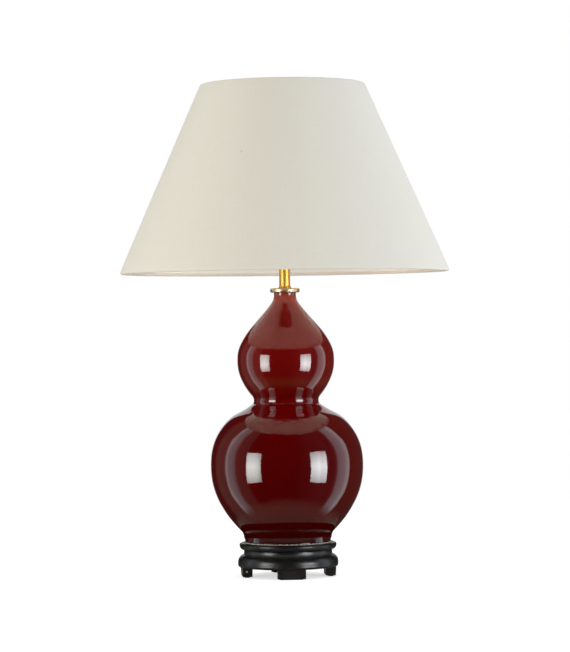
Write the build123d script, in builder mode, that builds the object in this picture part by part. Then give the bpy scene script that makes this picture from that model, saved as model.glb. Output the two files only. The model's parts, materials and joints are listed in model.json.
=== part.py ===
from build123d import *
import os
from math import atan, cos, radians, sin

# A double gourd table lamp: a glazed vase of two bulbs on a turned wood stand, a brass neck,
# a lampholder with a rotary switch, a harp, and a tapered fabric shade on a three-armed spider.
# Millimetres, +Z up, the origin on the table under the lamp's axis, the front towards -Y.

os.makedirs("parts", exist_ok=True)

# ---------------------------------------------------------------------------------------------
# Driving dimensions
# ---------------------------------------------------------------------------------------------

# Clearances, all at the radius or on one face
slip = 0.1  # between pieces that are pushed together by hand
running = 0.06  # round a shaft that turns in its hole
loose = 0.3  # between faces that only lie near one another

# Stand: pads, feet and dowels
stand_turn = 4.5  # degrees that the stand is turned under the lamp
pad_height = 1.2
pad_width = 32.0
pad_depth = 7.0
pad_corner = 2.0
foot_height = 12.4
foot_width = 38.5
foot_depth = 14.6
foot_reach = 65.4  # from the axis to a foot's outer face
foot_draft = 1.0  # that a foot's faces lean in by at the bottom
foot_bracket = 1.2  # radius of the cove behind a foot's top
foot_edge = 0.8
dowel_radius = 2.0
dowel_in_foot = 6.0
dowel_in_plinth = 8.0
dowel_spacing = 22.0

# Stand: the turned plinth
torus_radius = 69.8
torus_height = 17.7
torus_belly = 7.6  # height of its widest level above its underside
torus_round = 3.2
torus_crown = 2.0  # sagitta of the curve over its top
torus_shelf = 0.9
stand_waist_radius = 61.1
stand_waist_height = 6.0
stand_waist_swell = 0.5
lip_radius = 67.4
lip_height = 10.0
lip_belly = 4.2  # depth of its widest level below its top
lip_flat = 3.4
lip_round = 1.4  # sagitta of its upper edge
lip_under = 1.7  # sagitta of its underside
recess_depth = 4.6
web_thickness = 8.0
cavity_radius = 41.0
cover_radius = 48.5
cover_thickness = 3.0
cover_inset = 0.2
cover_screw_circle = 44.9
cover_screw_radius = 1.5
cover_screw_head = 3.0
cover_screw_head_depth = 1.6
cover_screw_length = 12.0
cover_screw_count = 3
cover_screw_turn = 45.0  # degrees from the right foot to the first screw

# Cord inlet at the back of the plinth
bush_height = 22.8
bush_radius = 5.0
bush_bore = 3.6
bush_length = 12.0
bush_flange_radius = 7.0
bush_flange_thickness = 2.0
bush_spot_depth = 3.4
bush_flange_chamfer = 0.7

# Gourd, with its levels measured from its own base
gasket_thickness = 1.0
gasket_width = 9.0
gourd_wall = 5.0
neck_wall = 4.0
gourd_height = 349.7
gourd_base_radius = 59.6
gourd_foot_height = 18.7
gourd_foot_radius = 63.7
gourd_foot_waist = 1.2  # how far the foot's side draws in
gourd_underside = 3.0
gourd_ring_width = 10.0
gourd_floor = 6.0
lower_bulb_radius = 106.2
lower_bulb_level = 110.4
waist_radius = 45.2
waist_level = 200.7
luting_level = 195.8  # where the two thrown halves are joined, just under the waist
upper_bulb_radius = 67.5
upper_bulb_level = 256.3
neck_radius = 15.3
neck_straight = 2.6
neck_cove_radius = 20.0
neck_cove_turn = 38.3  # degrees
rod_hole_slack = 1.0

# Curves of the gourd, as shares of the way out to the bulb and of the way up between two levels
lower_flank_power = 2.18
lower_flank_steps = 5
lower_shoulder = [
    (0.944, 0.307),
    (0.854, 0.461),
    (0.707, 0.615),
    (0.502, 0.753),
    (0.179, 0.876),
    (0.041, 0.938),
]
upper_flank = [(0.143, 0.124), (0.381, 0.25), (0.735, 0.5), (0.942, 0.75)]
neck_shoulder = [(0.968, 0.176), (0.843, 0.355), (0.653, 0.531), (0.401, 0.709), (0.147, 0.886)]
inner_steps = 9

# Rod and its fastenings under the web
rod_radius = 5.0
rod_bore = 3.5
rod_below_nut = 3.0
washer_radius = 12.0
washer_thickness = 1.6
earth_ring_radius = 8.0
earth_thickness = 0.8
earth_tab_length = 9.0
earth_tab_width = 5.0
lock_washer_radius = 8.5
lock_washer_thickness = 1.2
lock_washer_split = 1.5
nut_across_flats = 17.0
nut_height = 6.0
end_bush_flange = 1.0
end_bush_flange_radius = 5.6
end_bush_spigot = 5.0
end_bush_bore = 2.6

# Brass neck
seal_thickness = 0.8
seal_radius = 14.6
seal_plug_depth = 8.0
vase_cap_radius = 20.5
vase_cap_thickness = 5.7
vase_cap_edge = 2.2
vase_cap_skirt = 0.5
vase_cap_skirt_gap = 0.6
collar_radius = 8.9
collar_floor = 1.0
collar_height = 2.9
collar_flare = 0.9
tube_radius = 7.6
tube_wall = 0.9
tube_length = 39.2

# Harp
saddle_thickness = 2.0
saddle_width = 12.0
harp_foot_spacing = 52.0
tang_thickness = 2.0
tang_width = 4.0
tang_shoulder = 10.0  # height of the broad part of each upright above the saddle's underside
tang_height = 18.0
harp_height = 219.9  # from the saddle's underside to the middle of the top wire
harp_wire_radius = 1.6
harp_width = 112.0
harp_ankle = 44.0
harp_hip = 88.0
harp_shoulder = 162.0
harp_crown = 50.0
harp_bends = [22.0, 40.0, 62.0, 30.0]  # radii up one leg, from the ankle to the crown
harp_plate_radius = 8.0
harp_plate_thickness = 3.4
ferrule_radius = 4.0
ferrule_bore = 2.6
ferrule_length = 14.0
ferrule_bead = 0.6

# Swivel stud, finial and spider
stud_shank_radius = 2.5
stud_head_radius = 4.5
stud_head_height = 1.6
stud_flange_radius = 5.5
stud_flange_height = 1.5
stud_thread_radius = 3.1
stud_thread_length = 10.0
hub_radius = 9.0
hub_thickness = 2.0
finial_radius = 7.0
finial_height = 12.0
finial_dome = 2.0
finial_flutes = 20
finial_flute_radius = 0.7
spider_arms = 3
spider_start = 30.0  # degrees from +X to the first arm
spider_recess = 16.3  # from the hub's middle up to the top ring's middle
spider_flat_end = 96.0
spider_wire_radius = 1.6
spider_bend = 12.0
arm_notch = 0.4

# Shade
shade_bottom_radius = 229.9  # both are to the sharp corners that the rolled hems round off
shade_top_radius = 114.3
shade_height = 262.3
ring_wire_radius = 1.7
cover_cloth = 0.8
liner_sheet = 0.6
layer_gap = 0.3
hem_width = 11.0

# Lampholder
holder_cap_neck_radius = 8.5
holder_cap_neck_height = 6.5
holder_cap_radius = 18.6
holder_cap_height = 20.0
holder_cap_cup = 6.5
holder_cap_wall = 1.2
holder_thread_depth = 4.0
set_screw_radius = 1.3
set_screw_height = 2.6
set_screw_tail = 2.0
shell_radius = 17.3
shell_wall = 0.8
shell_length = 44.0
sleeve_wall = 0.7
core_height = 15.5
core_flat = 12.5
core_lift = 2.0
terminal_head_radius = 2.5
terminal_head_height = 1.5
terminal_shank_radius = 1.3
terminal_shank_length = 4.5
screw_shell_radius = 14.3
screw_shell_bore = 13.6
screw_shell_length = 25.0
contact_pin_radius = 1.5
contact_pin_length = 12.0
contact_head_radius = 3.5
contact_head_height = 1.0
contact_lift_off = 1.2

# Switch
spindle_radius = 1.8
spindle_in_core = 4.5
spindle_hole_slack = 0.6
knob_radius = 5.5
knob_length = 12.0
knob_stand_off = 2.2
knob_flutes = 12
knob_flute_radius = 0.7
knob_socket_depth = 8.0

# Bulb
bulb_contact_gap = 0.1
tip_radius = 4.5
tip_height = 1.5
insulator_height = 3.2
bulb_cap_radius = 13.2
bulb_cap_wall = 0.5
bulb_cap_length = 22.0
glass_neck_radius = 12.4
glass_wall = 0.9
glass_radius = 30.0
glass_length = 86.0
glass_tuck = 7.0
glass_centre = 30.0  # depth of the widest level below the top of the glass
stem_radius = 3.0
stem_flare_radius = 10.8
stem_flare_height = 3.0
stem_length = 34.0
filament_radius = 0.5
filament_span = 24.0
filament_foot = 4.0
filament_height = 17.0
filament_bend = 3.0

# ---------------------------------------------------------------------------------------------
# Levels, from the table up
# ---------------------------------------------------------------------------------------------
plinth_z = pad_height + foot_height
stand_waist_z = plinth_z + torus_height
lip_z = stand_waist_z + stand_waist_height
stand_top_z = lip_z + lip_height
recess_z = stand_top_z - recess_depth
web_z = recess_z - web_thickness
cover_z = plinth_z + cover_inset
cover_top_z = cover_z + cover_thickness

gourd_z = recess_z + gasket_thickness
gourd_foot_z = gourd_z + gourd_foot_height
lower_bulb_z = gourd_z + lower_bulb_level
waist_z = gourd_z + waist_level
luting_z = gourd_z + luting_level
upper_bulb_z = gourd_z + upper_bulb_level
gourd_top_z = gourd_z + gourd_height
gourd_floor_z = gourd_z + gourd_underside + gourd_floor

washer_z = web_z - washer_thickness
earth_z = washer_z - earth_thickness
lock_washer_z = earth_z - lock_washer_thickness
nut_z = lock_washer_z - nut_height
rod_z = nut_z - rod_below_nut

vase_cap_z = gourd_top_z + seal_thickness
collar_z = vase_cap_z + vase_cap_thickness
tube_z = collar_z + collar_floor
saddle_z = tube_z + tube_length
holder_z = saddle_z + saddle_thickness
rod_top_z = holder_z + holder_thread_depth

tang_shoulder_z = saddle_z + tang_shoulder
tang_top_z = saddle_z + tang_height
ferrule_z = tang_shoulder_z + loose
harp_top_z = saddle_z + harp_height
stud_flange_z = harp_top_z + harp_plate_thickness / 2 + slip
hub_z = stud_flange_z + stud_flange_height
finial_z = hub_z + hub_thickness
top_ring_z = hub_z + hub_thickness / 2 + spider_recess

roll_bore = ring_wire_radius + slip
roll_radius = roll_bore + cover_cloth
shade_top_z = top_ring_z + roll_radius
shade_z = shade_top_z - shade_height
bottom_ring_z = shade_z + roll_radius

shell_z = holder_z + holder_cap_height - holder_cap_cup + holder_cap_wall
core_z = shell_z + core_lift
core_top_z = core_z + core_height
contact_z = core_top_z + contact_lift_off
tip_z = contact_z + contact_head_height + bulb_contact_gap
insulator_z = tip_z + tip_height
bulb_cap_z = insulator_z + insulator_height
glass_z = bulb_cap_z + bulb_cap_length - glass_tuck
glass_top_z = glass_z + glass_length
spindle_z = core_z + core_height / 2

# ---------------------------------------------------------------------------------------------
# Shared places
# ---------------------------------------------------------------------------------------------
recess_radius = gourd_base_radius + gourd_foot_waist / 2 + 2 * loose
rod_hole = rod_radius + loose
gourd_rod_hole = rod_radius + rod_hole_slack
mouth_radius = neck_radius - neck_wall
foot_middle = foot_reach - foot_depth / 2
foot_angles = {
    "right": stand_turn,
    "back": stand_turn + 90,
    "left": stand_turn + 180,
    "front": stand_turn + 270,
}
back_angle = foot_angles["back"]
cover_screw_start = stand_turn + cover_screw_turn
bush_seat = torus_radius - bush_spot_depth
shell_bore = shell_radius - shell_wall
sleeve_radius = shell_bore - slip
sleeve_bore = sleeve_radius - sleeve_wall
core_radius = sleeve_bore - slip
knob_start = shell_radius + knob_stand_off

# The shade's slope: how far it leans in for each millimetre that it rises
shade_lean = (shade_bottom_radius - shade_top_radius) / shade_height
shade_tilt = atan(shade_lean)


def outward(angle):
    """The level direction away from the axis at an angle from +X."""
    return Vector(cos(radians(angle)), sin(radians(angle)), 0)


def upright_plane(angle):
    """The plane of a radius and the axis: x runs outward and y runs up."""
    out = outward(angle)
    return Plane(origin=(0, 0, 0), x_dir=out, z_dir=(out.Y, -out.X, 0))


def level_plane(angle, height):
    """A level plane whose x runs outward at an angle."""
    return Plane(origin=(0, 0, height), x_dir=outward(angle), z_dir=(0, 0, 1))


def inlet_plane(distance):
    """The plane across the cord inlet, at a distance from the lamp's axis."""
    out = outward(back_angle)
    return Plane(origin=out * distance + Vector(0, 0, bush_height), z_dir=out)


def between(low, high, share):
    """The value a share of the way from low to high."""
    return low + (high - low) * share


def shade_point(height, depth):
    """A point (radius, height) that lies a depth under the shade's outer face."""
    radius = shade_bottom_radius - shade_lean * (height - shade_z)
    return (radius - depth / cos(shade_tilt), height)


def along_shade(point, distance):
    """A point moved up the shade's slope by a distance."""
    return (point[0] - distance * sin(shade_tilt), point[1] + distance * cos(shade_tilt))


def into_shade(point, distance):
    """A point moved straight away from the shade's outer face, towards its inside."""
    return (point[0] - distance * cos(shade_tilt), point[1] - distance * sin(shade_tilt))


def save(piece, name):
    """Labels a finished piece and writes it to its own file."""
    piece.part.label = name
    export_step(piece.part, f"parts/{name}.step")


# ---------------------------------------------------------------------------------------------
# Stand
# ---------------------------------------------------------------------------------------------
with BuildPart() as stand_plinth:
    with BuildSketch(Plane.XZ):
        with BuildLine():
            lip_edge = (recess_radius + lip_flat, stand_top_z)
            lip_middle = (lip_radius, stand_top_z - lip_belly)
            waist_top = (stand_waist_radius, lip_z)
            waist_bottom = (stand_waist_radius, stand_waist_z)
            shelf_edge = (stand_waist_radius + torus_shelf, stand_waist_z)
            torus_middle = (torus_radius, plinth_z + torus_belly)
            torus_low = (torus_radius, plinth_z + torus_round)
            under_edge = (torus_radius - torus_round, plinth_z)
            Polyline((rod_hole, recess_z), (recess_radius, recess_z), (recess_radius, stand_top_z), lip_edge)
            SagittaArc(lip_edge, lip_middle, lip_round)
            SagittaArc(lip_middle, waist_top, lip_under)
            SagittaArc(waist_top, waist_bottom, stand_waist_swell)
            Line(waist_bottom, shelf_edge)
            SagittaArc(shelf_edge, torus_middle, torus_crown)
            Line(torus_middle, torus_low)
            RadiusArc(torus_low, under_edge, torus_round)
            Polyline(
                under_edge,
                (cover_radius + loose, plinth_z),
                (cover_radius + loose, cover_top_z),
                (cavity_radius, cover_top_z),
                (cavity_radius, web_z),
                (rod_hole, web_z),
                (rod_hole, recess_z),
            )
        make_face()
    revolve(axis=Axis.Z)
    # The inlet for the cord, with a flat seat for the bush's flange
    with BuildSketch(inlet_plane(cavity_radius - bush_flange_radius)):
        Circle(bush_radius + slip)
    extrude(amount=torus_radius, mode=Mode.SUBTRACT)
    with BuildSketch(inlet_plane(bush_seat)):
        Circle(bush_flange_radius + slip)
    extrude(amount=torus_radius, mode=Mode.SUBTRACT)
    # Holes for the dowels of the feet
    for angle in foot_angles.values():
        with BuildSketch(level_plane(angle, plinth_z)):
            with Locations((foot_middle, -dowel_spacing / 2), (foot_middle, dowel_spacing / 2)):
                Circle(dowel_radius + slip)
        extrude(amount=dowel_in_plinth + loose, mode=Mode.SUBTRACT)
    # Pilot holes for the screws of the cover
    with BuildSketch(Plane.XY.offset(cover_top_z)):
        with PolarLocations(cover_screw_circle, cover_screw_count, start_angle=cover_screw_start):
            Circle(cover_screw_radius + slip)
    extrude(amount=cover_screw_length - cover_thickness + loose, mode=Mode.SUBTRACT)
save(stand_plinth, "stand_plinth")

for place, angle in foot_angles.items():
    with BuildPart() as foot:
        with BuildSketch(upright_plane(angle)):
            inner = foot_reach - foot_depth
            with BuildLine():
                RadiusArc((inner, plinth_z - foot_bracket), (inner - foot_bracket, plinth_z), foot_bracket)
                Polyline(
                    (inner - foot_bracket, plinth_z),
                    (foot_reach, plinth_z),
                    (foot_reach - foot_draft, pad_height),
                    (inner + foot_draft / 2, pad_height),
                    (inner, plinth_z - foot_bracket),
                )
            make_face()
        extrude(amount=foot_width / 2, both=True)
        upright_edges = foot.edges().filter_by(lambda edge: abs((edge % 0.5).Z) > 0.9)
        outer_edges = upright_edges.sort_by(lambda edge: (edge @ 0.5).dot(outward(angle)))[-2:]
        fillet(outer_edges, radius=foot_edge)
        with BuildSketch(level_plane(angle, plinth_z)):
            with Locations((foot_middle, -dowel_spacing / 2), (foot_middle, dowel_spacing / 2)):
                Circle(dowel_radius + slip)
        extrude(amount=-(dowel_in_foot + loose), mode=Mode.SUBTRACT)
    save(foot, f"stand_foot_{place}")

    with BuildPart() as pad:
        with BuildSketch(level_plane(angle, 0)):
            with Locations((foot_middle, 0)):
                RectangleRounded(pad_depth, pad_width, pad_corner)
        extrude(amount=pad_height)
    save(pad, f"foot_pad_{place}")

with BuildPart() as foot_dowels:
    for angle in foot_angles.values():
        with BuildSketch(level_plane(angle, plinth_z - dowel_in_foot)):
            with Locations((foot_middle, -dowel_spacing / 2), (foot_middle, dowel_spacing / 2)):
                Circle(dowel_radius)
        extrude(amount=dowel_in_foot + dowel_in_plinth)
save(foot_dowels, "foot_dowels")

with BuildPart() as base_cover:
    with BuildSketch(Plane.XY.offset(cover_z)):
        Circle(cover_radius)
    extrude(amount=cover_thickness)
    with Locations(Plane.XY.offset(cover_z)):
        with PolarLocations(cover_screw_circle, cover_screw_count, start_angle=cover_screw_start):
            Cone(
                cover_screw_head + slip,
                cover_screw_radius + slip,
                cover_screw_head_depth + slip,
                align=(Align.CENTER, Align.CENTER, Align.MIN),
                mode=Mode.SUBTRACT,
            )
            Cylinder(
                cover_screw_radius + slip,
                cover_thickness,
                align=(Align.CENTER, Align.CENTER, Align.MIN),
                mode=Mode.SUBTRACT,
            )
save(base_cover, "base_cover")

with BuildPart() as base_cover_screws:
    with Locations(Plane.XY.offset(cover_z)):
        with PolarLocations(cover_screw_circle, cover_screw_count, start_angle=cover_screw_start):
            Cone(
                cover_screw_head,
                cover_screw_radius,
                cover_screw_head_depth,
                align=(Align.CENTER, Align.CENTER, Align.MIN),
            )
            Cylinder(cover_screw_radius, cover_screw_length, align=(Align.CENTER, Align.CENTER, Align.MIN))
save(base_cover_screws, "base_cover_screws")

with BuildPart() as cord_bush:
    with BuildSketch(inlet_plane(bush_seat - bush_length)):
        Circle(bush_radius)
    extrude(amount=bush_length)
    with BuildSketch(inlet_plane(bush_seat)):
        Circle(bush_flange_radius)
    extrude(amount=bush_flange_thickness)
    flange_rims = cord_bush.edges().filter_by(GeomType.CIRCLE).sort_by(Edge.length)[-2:]
    chamfer(flange_rims.sort_by(Axis.Y)[-1], length=bush_flange_chamfer)
    with BuildSketch(inlet_plane(bush_seat - bush_length)):
        Circle(bush_bore)
    extrude(amount=bush_length + bush_flange_thickness, mode=Mode.SUBTRACT)
save(cord_bush, "cord_bush")

with BuildPart() as stand_gasket:
    with BuildSketch(Plane.XY.offset(recess_z)):
        Circle(gourd_base_radius)
        Circle(gourd_base_radius - gasket_width, mode=Mode.SUBTRACT)
    extrude(amount=gasket_thickness)
save(stand_gasket, "stand_gasket")


# ---------------------------------------------------------------------------------------------
# Gourd
# ---------------------------------------------------------------------------------------------
def inward(edge, share, wall):
    """The point one wall inside an outline that is drawn from the foot up."""
    along = edge % share
    return edge @ share + Vector(-along.Y, along.X) * wall


def lower_flank(share):
    """The share of the way out to the lower bulb's widest level, a share of the way up to it."""
    return 1 - (1 - share) ** lower_flank_power


with BuildPart() as gourd:
    with BuildSketch(Plane.XZ):
        with BuildLine():
            foot_corner = (gourd_base_radius, gourd_z)
            crease = (gourd_foot_radius, gourd_foot_z)
            mouth = (neck_radius, gourd_top_z)
            flank_shares = [step / lower_flank_steps for step in range(lower_flank_steps + 1)]
            lower_points = [
                (
                    between(gourd_foot_radius, lower_bulb_radius, lower_flank(share)),
                    between(gourd_foot_z, lower_bulb_z, share),
                )
                for share in flank_shares
            ] + [
                (between(waist_radius, lower_bulb_radius, out), between(lower_bulb_z, waist_z, up))
                for out, up in lower_shoulder
            ]
            upper_points = [
                (between(waist_radius, upper_bulb_radius, out), between(waist_z, upper_bulb_z, up))
                for out, up in upper_flank
            ]
            waist = (waist_radius, waist_z)
            turn = radians(neck_cove_turn)
            cove_top = (neck_radius, gourd_top_z - neck_straight)
            cove_foot = (
                cove_top[0] + neck_cove_radius * (1 - cos(turn)),
                cove_top[1] - neck_cove_radius * sin(turn),
            )
            upper_points.append((upper_bulb_radius, upper_bulb_z))
            upper_points += [
                (between(cove_foot[0], upper_bulb_radius, out), between(upper_bulb_z, cove_foot[1], up))
                for out, up in neck_shoulder
            ]
            SagittaArc(foot_corner, crease, gourd_foot_waist)
            lower_bulb = Spline(*lower_points, waist, tangents=[(1, 1), (0, 1)])
            cove_run = (-sin(turn), cos(turn))
            upper_bulb = Spline(waist, *upper_points, cove_foot, tangents=[(0, 1), cove_run])
            neck_cove = RadiusArc(cove_foot, cove_top, neck_cove_radius)
            Polyline(cove_top, mouth, (mouth_radius, gourd_top_z), inward(neck_cove, 1, neck_wall))

            shares = [step / inner_steps for step in range(inner_steps + 1)]
            inner_lower = [inward(lower_bulb, share, gourd_wall) for share in shares]
            inner_upper = [
                inward(upper_bulb, share, between(gourd_wall, neck_wall, share)) for share in shares
            ]
            Spline(*inner_lower, tangents=[(1, 1), (0, 1)])
            Spline(*inner_upper, tangents=[(0, 1), cove_run])
            RadiusArc(inner_upper[-1], inward(neck_cove, 1, neck_wall), neck_cove_radius + neck_wall)
            ring_inner = gourd_base_radius - gourd_ring_width
            Polyline(
                inner_lower[0],
                (gourd_base_radius - gourd_wall, gourd_floor_z),
                (gourd_rod_hole, gourd_floor_z),
                (gourd_rod_hole, gourd_z + gourd_underside),
                (ring_inner, gourd_z + gourd_underside),
                (ring_inner, gourd_z),
                foot_corner,
            )
        make_face()
    revolve(axis=Axis.Z)

# The vase is thrown in two halves, luted together and fired as one
with BuildPart() as gourd_lower:
    add(gourd.part)
    split(bisect_by=Plane.XY.offset(luting_z), keep=Keep.BOTTOM)
save(gourd_lower, "gourd_lower")

with BuildPart() as gourd_upper:
    add(gourd.part)
    split(bisect_by=Plane.XY.offset(luting_z), keep=Keep.TOP)
save(gourd_upper, "gourd_upper")


# ---------------------------------------------------------------------------------------------
# Rod, which clamps the stand, the gourd and the brass neck together
# ---------------------------------------------------------------------------------------------
def ring(outer, bore, bottom, height):
    """A flat ring about the lamp's axis."""
    with BuildPart() as piece:
        with BuildSketch(Plane.XY.offset(bottom)):
            Circle(outer)
            Circle(bore, mode=Mode.SUBTRACT)
        extrude(amount=height)
    return piece


save(ring(rod_radius, rod_bore, rod_z, rod_top_z - rod_z), "threaded_rod")
save(ring(washer_radius, rod_hole, washer_z, washer_thickness), "rod_washer")

with BuildPart() as earth_tag:
    with BuildSketch(Plane.XY.offset(earth_z)):
        Circle(earth_ring_radius)
        with Locations((earth_ring_radius + earth_tab_length / 2, 0)):
            Rectangle(earth_tab_length + earth_ring_radius / 2, earth_tab_width)
        Circle(rod_hole, mode=Mode.SUBTRACT)
    extrude(amount=earth_thickness)
save(earth_tag, "earth_tag")

with BuildPart() as rod_lock_washer:
    with BuildSketch(Plane.XY.offset(lock_washer_z)):
        Circle(lock_washer_radius)
        Circle(rod_hole, mode=Mode.SUBTRACT)
        with Locations((lock_washer_radius, 0)):
            Rectangle(2 * lock_washer_radius, lock_washer_split, mode=Mode.SUBTRACT)
    extrude(amount=lock_washer_thickness)
save(rod_lock_washer, "rod_lock_washer")

with BuildPart() as rod_nut:
    with BuildSketch(Plane.XY.offset(nut_z)):
        RegularPolygon(nut_across_flats / 2, 6, major_radius=False)
        Circle(rod_radius + slip, mode=Mode.SUBTRACT)
    extrude(amount=nut_height)
save(rod_nut, "rod_nut")

with BuildPart() as rod_end_bush:
    with BuildSketch(Plane.XY.offset(rod_z - end_bush_flange)):
        Circle(end_bush_flange_radius)
    extrude(amount=end_bush_flange)
    with BuildSketch(Plane.XY.offset(rod_z)):
        Circle(rod_bore - slip)
    extrude(amount=end_bush_spigot)
    with BuildSketch(Plane.XY.offset(rod_z - end_bush_flange)):
        Circle(end_bush_bore)
    extrude(amount=end_bush_flange + end_bush_spigot, mode=Mode.SUBTRACT)
save(rod_end_bush, "rod_end_bush")

# ---------------------------------------------------------------------------------------------
# Brass neck
# ---------------------------------------------------------------------------------------------
with BuildPart() as neck_seal:
    with BuildSketch(Plane.XY.offset(gourd_top_z)):
        Circle(seal_radius)
    extrude(amount=seal_thickness)
    with BuildSketch(Plane.XY.offset(gourd_top_z - seal_plug_depth)):
        Circle(mouth_radius - loose)
    extrude(amount=seal_plug_depth)
    with BuildSketch(Plane.XY.offset(gourd_top_z - seal_plug_depth)):
        Circle(rod_hole)
    extrude(amount=seal_plug_depth + seal_thickness, mode=Mode.SUBTRACT)
save(neck_seal, "neck_seal")

with BuildPart() as vase_cap:
    with BuildSketch(Plane.XY.offset(vase_cap_z - vase_cap_skirt)):
        Circle(vase_cap_radius)
    extrude(amount=vase_cap_thickness + vase_cap_skirt)
    fillet(vase_cap.edges().filter_by(GeomType.CIRCLE), radius=vase_cap_edge)
    with BuildSketch(Plane.XY.offset(vase_cap_z - vase_cap_skirt)):
        Circle(neck_radius + vase_cap_skirt_gap)
    extrude(amount=vase_cap_skirt, mode=Mode.SUBTRACT)
    with BuildSketch(Plane.XY.offset(vase_cap_z)):
        Circle(rod_hole)
    extrude(amount=vase_cap_thickness, mode=Mode.SUBTRACT)
save(vase_cap, "vase_cap")

with BuildPart() as neck_collar:
    with BuildSketch(Plane.XZ):
        with BuildLine():
            collar_lip = tube_radius + slip
            rim = (collar_radius - collar_flare, collar_z + collar_height)
            foot_edge_top = (collar_radius, collar_z + collar_floor)
            Polyline(
                rim,
                (collar_lip, collar_z + collar_height),
                (collar_lip, collar_z + collar_floor),
                (rod_hole, collar_z + collar_floor),
                (rod_hole, collar_z),
                (collar_radius, collar_z),
                foot_edge_top,
            )
            SagittaArc(foot_edge_top, rim, collar_flare / 4)
        make_face()
    revolve(axis=Axis.Z)
save(neck_collar, "neck_collar")

save(ring(tube_radius, tube_radius - tube_wall, tube_z, tube_length), "neck_tube")

# ---------------------------------------------------------------------------------------------
# Harp
# ---------------------------------------------------------------------------------------------
with BuildPart() as harp_saddle:
    with BuildSketch(Plane.XY.offset(saddle_z)):
        Rectangle(harp_foot_spacing + tang_thickness, saddle_width)
        Circle(rod_hole, mode=Mode.SUBTRACT)
    extrude(amount=saddle_thickness)
    for side in (-1, 1):
        with BuildSketch(Plane.YZ.offset(side * harp_foot_spacing / 2)):
            with BuildLine():
                Polyline(
                    (-saddle_width / 2, saddle_z),
                    (-saddle_width / 2, tang_shoulder_z - tang_width / 2),
                    (-tang_width / 2 - ferrule_bore / 2, tang_shoulder_z),
                    (-tang_width / 2, tang_shoulder_z),
                    (-tang_width / 2, tang_top_z),
                    (tang_width / 2, tang_top_z),
                    (tang_width / 2, tang_shoulder_z),
                    (tang_width / 2 + ferrule_bore / 2, tang_shoulder_z),
                    (saddle_width / 2, tang_shoulder_z - tang_width / 2),
                    (saddle_width / 2, saddle_z),
                    close=True,
                )
            make_face()
        extrude(amount=tang_thickness / 2, both=True)
save(harp_saddle, "harp_saddle")

with BuildPart() as harp_wire:
    leg = [
        (harp_foot_spacing / 2, tang_top_z),
        (harp_foot_spacing / 2, saddle_z + harp_ankle),
        (harp_width / 2, saddle_z + harp_hip),
        (harp_width / 2, saddle_z + harp_shoulder),
        (harp_crown / 2, harp_top_z),
    ]
    with BuildLine(Plane.XZ) as harp_route:
        FilletPolyline(
            *[(-x, z) for x, z in leg],
            *reversed(leg),
            radius=harp_bends + harp_bends[::-1],
        )
    start = harp_route.line
    with BuildSketch(Plane(origin=start @ 0, z_dir=start % 0)):
        Circle(harp_wire_radius)
    sweep()
    with BuildSketch(Plane.XY.offset(harp_top_z - harp_plate_thickness / 2)):
        Circle(harp_plate_radius)
    extrude(amount=harp_plate_thickness)
    with BuildSketch(Plane.XY.offset(harp_top_z - harp_plate_thickness / 2)):
        Circle(stud_shank_radius + running)
    extrude(amount=harp_plate_thickness, mode=Mode.SUBTRACT)
save(harp_wire, "harp_wire")

for name, side in {"left": -1, "right": 1}.items():
    with BuildPart() as ferrule:
        with Locations((side * harp_foot_spacing / 2, 0, ferrule_z)):
            Cylinder(ferrule_radius, ferrule_length, align=(Align.CENTER, Align.CENTER, Align.MIN))
            Cylinder(
                ferrule_radius + ferrule_bead,
                2 * ferrule_bead,
                align=(Align.CENTER, Align.CENTER, Align.MIN),
            )
            Cylinder(
                ferrule_bore,
                ferrule_length,
                align=(Align.CENTER, Align.CENTER, Align.MIN),
                mode=Mode.SUBTRACT,
            )
    save(ferrule, f"harp_ferrule_{name}")

# ---------------------------------------------------------------------------------------------
# Swivel stud, finial and spider
# ---------------------------------------------------------------------------------------------
with BuildPart() as harp_stud:
    stud_head_z = harp_top_z - harp_plate_thickness / 2 - loose - stud_head_height
    for radius, bottom, top in (
        (stud_head_radius, stud_head_z, stud_head_z + stud_head_height),
        (stud_shank_radius, stud_head_z, stud_flange_z),
        (stud_flange_radius, stud_flange_z, hub_z),
        (stud_thread_radius, hub_z, finial_z + stud_thread_length),
    ):
        with BuildSketch(Plane.XY.offset(bottom)):
            Circle(radius)
        extrude(amount=top - bottom)
save(harp_stud, "harp_stud")

with BuildPart() as finial:
    with BuildSketch(Plane.XY.offset(finial_z)):
        Circle(finial_radius)
    extrude(amount=finial_height)
    fillet(finial.faces().sort_by(Axis.Z)[-1].edges(), radius=finial_dome)
    with BuildSketch(Plane.XY.offset(finial_z)):
        with PolarLocations(finial_radius + finial_flute_radius / 2, finial_flutes):
            Circle(finial_flute_radius)
    extrude(amount=finial_height - finial_dome, mode=Mode.SUBTRACT)
    with BuildSketch(Plane.XY.offset(finial_z)):
        Circle(stud_thread_radius + slip)
    extrude(amount=stud_thread_length + loose, mode=Mode.SUBTRACT)
save(finial, "finial")

save(ring(hub_radius, stud_thread_radius + slip, hub_z, hub_thickness), "spider_hub")

bottom_ring_centre = shade_point(bottom_ring_z, roll_radius)
top_ring_centre = shade_point(top_ring_z, roll_radius)
arm_z = hub_z + hub_thickness / 2
arm_bend = (spider_flat_end, arm_z)


def arm_route(plane, start_radius):
    """The middle line of one spider arm, from a radius near the hub out to the top ring."""
    with BuildLine(plane) as route:
        FilletPolyline((start_radius, arm_z), arm_bend, top_ring_centre, radius=spider_bend)
    return route.line


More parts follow.
